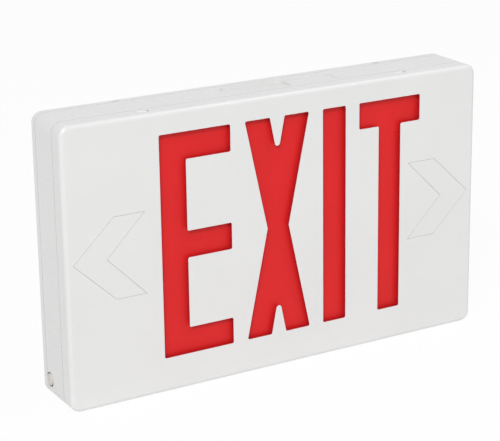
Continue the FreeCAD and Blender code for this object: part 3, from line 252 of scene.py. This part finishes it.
def hook_tips(finish, depth):
    """1 on the tips of the housing's hooks, where a highlight is painted, paler than the case.
    """
    side = finish.math("ABSOLUTE", finish.axis("X"))
    level = finish.math("ABSOLUTE", finish.axis("Z"))
    return finish.all_of(
        finish.between(side, *HOOK_SIDE),
        finish.between(depth, *HOOK_DEPTH),
        finish.math("GREATER_THAN", level, HOOK_LEVEL),
    )


def diffuser(name):
    """Tinted diffusing sheet: tiny pigment grains under a smooth skin."""
    colour = (0.715, 0.013, 0.015)
    finish = Finish(name, 0.45, IOR=1.49, Specular_IOR_Level=0.25)
    clouds = finish.noise(45 * MM, 2.0)
    base = finish.tones(clouds, shade(colour, -0.03), shade(colour, 0.03))
    grains = finish.noise(0.35 * MM, 1.0)
    share = finish.spread(grains, 0.0, 0.04)
    finish.set("Base Color", finish.mix(share, base, (0.95, 0.10, 0.10)))
    finish.relief(grains, 0.006 * MM)
    return finish


def circuit(name, colour, track, pad):
    """Solder mask with raised tracks and pads."""
    finish = Finish(name, 0.3, IOR=1.5, Coat_Weight=0.3, Coat_Roughness=0.15)
    flat = finish.node("ShaderNodeCombineXYZ", {
        "X": finish.axis("X"), "Y": finish.axis("Z"),
    }).outputs[0]
    bricks = finish.node("ShaderNodeTexBrick", {
        "Vector": flat, "Scale": 120.0, "Mortar Size": 0.06, "Mortar Smooth": 0.2,
        "Brick Width": 0.9, "Row Height": 0.22, "Bias": 0.0,
    }).outputs["Fac"]
    spots = finish.node("ShaderNodeTexVoronoi", {"Vector": flat, "Scale": 160.0})
    pads = finish.math("LESS_THAN", spots.outputs["Distance"], PAD_RADIUS)
    finish.set("Base Color", finish.mix(pads, finish.mix(bricks, track, colour), pad))
    finish.relief(bricks, 0.03 * MM)
    return finish


def phosphor(name):
    """Cloudy yellow phosphor under clear resin."""
    finish = Finish(name, 0.35, IOR=1.5)
    clouds = finish.noise(0.8 * MM, 2.0)
    dark, light = (0.86, 0.70, 0.28), (0.88, 0.82, 0.55)
    finish.set("Base Color", finish.tones(clouds, dark, light, 0.40, 0.60))
    finish.relief(clouds, 0.02 * MM)
    return finish


def metal(name, colour, roughness, scale=(1, 1, 1)):
    """Drawn or rolled metal: streaks along one direction, set by an uneven scale."""
    finish = Finish(name, roughness, 1.0)
    streaks = finish.noise(0.4 * MM, 3.0, finish.stretched(scale))
    finish.set("Base Color", finish.tones(streaks, shade(colour, -0.12), shade(colour, 0.08)))
    finish.set("Roughness", finish.spread(streaks, roughness - 0.08, roughness + 0.10))
    finish.relief(streaks, 0.01 * MM)
    return finish


def laminated(name, colour, roughness):
    """Stacked steel sheets, seen as lines along the core's thickness."""
    finish = metal(name, colour, roughness)
    sheets = finish.node("ShaderNodeTexWave", {
        "Vector": finish.place, "Scale": 100.0, "Distortion": 0.3,
    }, bands_direction="Y")
    finish.relief(sheets.outputs["Fac"], 0.08 * MM)
    return finish


def wound_tape(name, colour):
    """Polyester tape, wound in overlapping layers."""
    finish = Finish(name, 0.25, IOR=1.6, Coat_Weight=0.4, Coat_Roughness=0.1)
    layers = finish.node("ShaderNodeTexWave", {
        "Vector": finish.place, "Scale": 26.0, "Distortion": 1.2, "Detail": 2.0,
    }, bands_direction="Z", wave_profile="SAW").outputs["Fac"]
    finish.set("Base Color", finish.ramp(layers, [
        (0.0, shade(colour, -0.12)), (0.9, colour), (1.0, shade(colour, 0.15)),
    ]))
    finish.relief(layers, 0.05 * MM)
    return finish


def capacitor_sleeve(name):
    """Black shrunk sleeve."""
    finish = Finish(name, 0.3, IOR=1.5)
    slivers = finish.noise(0.5 * MM, 2.0)
    finish.set("Base Color", finish.tones(slivers, (0.020, 0.021, 0.03), (0.035, 0.036, 0.05)))
    finish.relief(slivers, 0.01 * MM)
    return finish


def glass_fuse(name):
    """Clear tube between two plated caps, told apart by the place along the tube."""
    finish = Finish(name, 0.06, IOR=1.5)
    low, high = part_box("fuse")
    middle = (low.x + high.x) / 2
    cap_start = (high.x - low.x) / 2 - FUSE_CAP
    from_middle = finish.math("ABSOLUTE", finish.math("SUBTRACT", finish.axis("X"), middle))
    cap = finish.math("GREATER_THAN", from_middle, cap_start)
    finish.set("Base Color", finish.mix(cap, (0.93, 0.95, 0.94), (0.70, 0.68, 0.64)))
    finish.set("Metallic", cap)
    finish.set("Transmission Weight", finish.math("SUBTRACT", 1.0, cap))
    scratches = finish.noise(0.2 * MM, 3.0, finish.stretched((0.1, 1, 1)))
    finish.relief(scratches, 0.003 * MM)
    return finish


def ringed(name):
    """Lacquered resistor body with plain colour rings."""
    finish = Finish(name, 0.35, IOR=1.5, Coat_Weight=0.3)
    low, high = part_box("resistors")
    along = finish.spread(finish.axis("X"), 0.0, 1.0, low.x, high.x)
    tan, brown, black, red, gold = (
        (0.55, 0.38, 0.22), (0.10, 0.03, 0.01), (0.01, 0.01, 0.01), (0.45, 0.02, 0.02),
        (0.50, 0.33, 0.08),
    )
    finish.set("Base Color", finish.ramp(along, [
        (0.0, tan), (0.20, brown), (0.28, tan), (0.36, black), (0.44, tan), (0.52, red),
        (0.60, tan), (0.76, gold), (0.84, tan),
    ], "CONSTANT"))
    finish.relief(finish.noise(0.6 * MM, 2.0), 0.02 * MM)
    return finish


def wrinkled_sleeve(name, colour):
    """Shrunk sleeve: gloss film with fine wrinkles across the cells."""
    finish = Finish(name, 0.22, IOR=1.5, Coat_Weight=0.5, Coat_Roughness=0.08)
    wrinkles = finish.noise(3 * MM, 3.0, finish.stretched((1, 0.25, 0.25)), 0.6)
    finish.set("Base Color", finish.tones(wrinkles, shade(colour, -0.10), shade(colour, 0.10)))
    finish.relief(wrinkles, 0.12 * MM)
    return finish


def clear_resin(name):
    """Tinted clear resin."""
    finish = Finish(name, 0.12, IOR=1.5, Transmission_Weight=0.55)
    clouds = finish.noise(1 * MM, 2.0)
    finish.set("Base Color", finish.tones(clouds, (0.05, 0.42, 0.11), (0.08, 0.55, 0.16)))
    finish.relief(clouds, 0.01 * MM)
    return finish


def insulation(name, colour):
    """Soft vinyl round a lead: satin, with faint drawing lines."""
    finish = Finish(name, 0.38, IOR=1.5)
    lines = finish.noise(0.3 * MM, 2.0, finish.stretched((0.15, 1, 1)))
    finish.set("Base Color", finish.tones(lines, shade(colour, -0.08), shade(colour, 0.08)))
    finish.relief(lines, 0.01 * MM)
    return finish


# ---------------------------------------------------------------- the finish of each slot


SLOT_FINISHES = {
    "casing_white": (casing, {}),
    "knockout_white": (moulded, dict(colour=CASE_WHITE, roughness=0.42, IOR=1.48)),
    # a darker white than the case's: painted shade of the hole the button sits in
    "button_white": (moulded, dict(
        colour=(0.64, 0.615, 0.58), roughness=0.45, depth=0.004 * MM, IOR=1.48)),
    "panel_red": (diffuser, {}),
    "tray_white": (moulded, dict(colour=(0.84, 0.84, 0.83), roughness=0.55, patch=0.01)),
    "lamp_board_white": (circuit, dict(
        colour=(0.72, 0.73, 0.71), track=(0.80, 0.81, 0.79), pad=(0.70, 0.69, 0.65))),
    "led": (phosphor, {}),
    "screw_steel": (metal, dict(colour=(0.66, 0.67, 0.68), roughness=0.30)),
    "board_green": (circuit, dict(
        colour=(0.022, 0.12, 0.05), track=(0.035, 0.19, 0.08), pad=(0.62, 0.60, 0.55))),
    "core_steel": (laminated, dict(colour=(0.34, 0.34, 0.35), roughness=0.45)),
    "coil_tape": (wound_tape, dict(colour=(0.70, 0.52, 0.09))),
    "capacitor_black": (capacitor_sleeve, {}),
    "relay_blue": (moulded, dict(
        colour=(0.03, 0.08, 0.30), roughness=0.32, patch=0.08, IOR=1.5)),
    "film_yellow": (moulded, dict(
        colour=(0.62, 0.36, 0.05), roughness=0.30, patch=0.06, IOR=1.5)),
    "fuse_glass": (glass_fuse, {}),
    "clip_brass": (metal, dict(
        colour=(0.78, 0.60, 0.30), roughness=0.28, scale=(0.1, 1, 1))),
    "chip_black": (moulded, dict(
        colour=(0.022, 0.022, 0.024), roughness=0.55, grain=0.2 * MM, depth=0.02 * MM,
        patch=0.1)),
    "resistor_tan": (ringed, {}),
    "terminal_green": (moulded, dict(
        colour=(0.04, 0.24, 0.11), roughness=0.42, patch=0.06, depth=0.02 * MM)),
    "connector_white": (moulded, dict(
        colour=(0.72, 0.71, 0.64), roughness=0.45, patch=0.03)),
    "battery_sleeve": (wrinkled_sleeve, dict(colour=(0.04, 0.17, 0.32))),
    "strap_steel": (metal, dict(
        colour=(0.60, 0.60, 0.60), roughness=0.32, scale=(1, 0.06, 0.06))),
    "switch_black": (moulded, dict(colour=PLASTIC_BLACK, roughness=0.45, patch=0.1)),
    "plunger_red": (moulded, dict(colour=(0.45, 0.035, 0.03), roughness=0.38, patch=0.06)),
    "pilot_green": (clear_resin, {}),
    "bushing_black": (moulded, dict(
        colour=PLASTIC_BLACK, roughness=0.5, patch=0.1, depth=0.02 * MM)),
    "lead_red": (insulation, dict(colour=(0.50, 0.025, 0.025))),
    "lead_black": (insulation, dict(colour=(0.025, 0.025, 0.025))),
    "lead_white": (insulation, dict(colour=(0.70, 0.70, 0.68))),
    "lead_yellow": (insulation, dict(colour=(0.65, 0.48, 0.05))),
}


def dress_nodes():
    """Gives every carried-over node the finish of its slot."""
    finishes = {slot: make(slot, **look) for slot, (make, look) in SLOT_FINISHES.items()}
    for part in frame["record"]["subparts"]:
        for holder in frame["nodes"][part["node"]].material_slots:
            holder.material = finishes[part["material_slot"]].material


# ---------------------------------------------------------------- floor, light and camera


WHITE = (1, 1, 1)
FLOOR_REACH = 6.0
# how much of the floor's own shading shows in its seen white
SHADOW_SHARE = 0.06


def make_floor():
    """Wide pale floor under the bottom edge. The camera sees it as white, with a soft shadow."""
    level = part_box("faceplate")[0].z
    low, high = -FLOOR_REACH, FLOOR_REACH
    corners = [(low, low, level), (high, low, level), (high, high, level), (low, high, level)]
    mesh = bpy.data.meshes.new("floor")
    mesh.from_pydata(corners, [], [(0, 1, 2, 3)])
    floor = bpy.data.objects.new("floor", mesh)
    bpy.context.scene.collection.objects.link(floor)

    finish = Finish("floor_white", 0.9)
    clouds = finish.noise(0.4, 1.0)
    finish.set("Base Color", finish.tones(clouds, (0.90, 0.90, 0.90), (0.92, 0.92, 0.92)))
    white = finish.node("ShaderNodeEmission", {"Color": WHITE, "Strength": 1.0})
    seen = finish.math("MULTIPLY", finish.seen_directly(), 1 - SHADOW_SHARE)
    blend = finish.node("ShaderNodeMixShader", {
        0: seen, 1: finish.shader.outputs[0], 2: white.outputs[0],
    })
    output = finish.tree.nodes["Material Output"]
    finish.feed(output.inputs["Surface"], blend.outputs[0])
    mesh.materials.append(finish.material)


def make_world(fill):
    """Even white surroundings: full white where seen, and a softer fill for the light."""
    world = bpy.data.worlds.new("studio")
    bpy.context.scene.world = world
    world.use_nodes = True
    world.node_tree.nodes.clear()
    builder = Nodes(world.node_tree)
    lighting, backdrop = (
        builder.node("ShaderNodeBackground", {"Color": WHITE, "Strength": strength}).outputs[0]
        for strength in (fill, 1.0)
    )
    blend = builder.node("ShaderNodeMixShader", {
        0: builder.seen_directly(), 1: lighting, 2: backdrop,
    })
    builder.node("ShaderNodeOutputWorld", {"Surface": blend.outputs[0]})


def make_softbox(name, place, width, height, energy):
    """Rectangular soft light that faces the middle of the object."""
    light = bpy.data.lights.new(name, "AREA")
    light.shape = "RECTANGLE"
    light.size = width
    light.size_y = height
    light.energy = energy
    lamp = bpy.data.objects.new(name, light)
    lamp.location = place
    lamp.rotation_euler = Vector(place).to_track_quat("Z", "Y").to_euler()
    bpy.context.scene.collection.objects.link(lamp)


def make_camera():
    """Long lens, about 1.2 m away, at the left of the face and above it."""
    data = bpy.data.cameras.new("camera")
    data.sensor_width = 36.0
    data.lens = 126.74
    data.shift_x = -0.0914
    data.shift_y = -0.0513
    camera = bpy.data.objects.new("camera", data)
    camera.location = (-0.5722, -1.0088, 0.3763)
    camera.rotation_euler = Euler([math.radians(a) for a in (72.656, 0.336, -31.248)])
    bpy.context.scene.collection.objects.link(camera)
    bpy.context.scene.camera = camera


dress_nodes()
make_floor()
make_world(0.41)
make_softbox("top_softbox", (0.75, -0.55, 1.35), 0.5, 0.3, 4.2)
make_softbox("key_softbox", (-1.96, -2.40, 2.52), 1.0, 1.0, 83.0)
make_softbox("left_softbox", (-1.50, -0.85, -0.05), 0.3, 0.8, 0.8)
make_camera()
bpy.context.scene.view_settings.view_transform = "Standard"
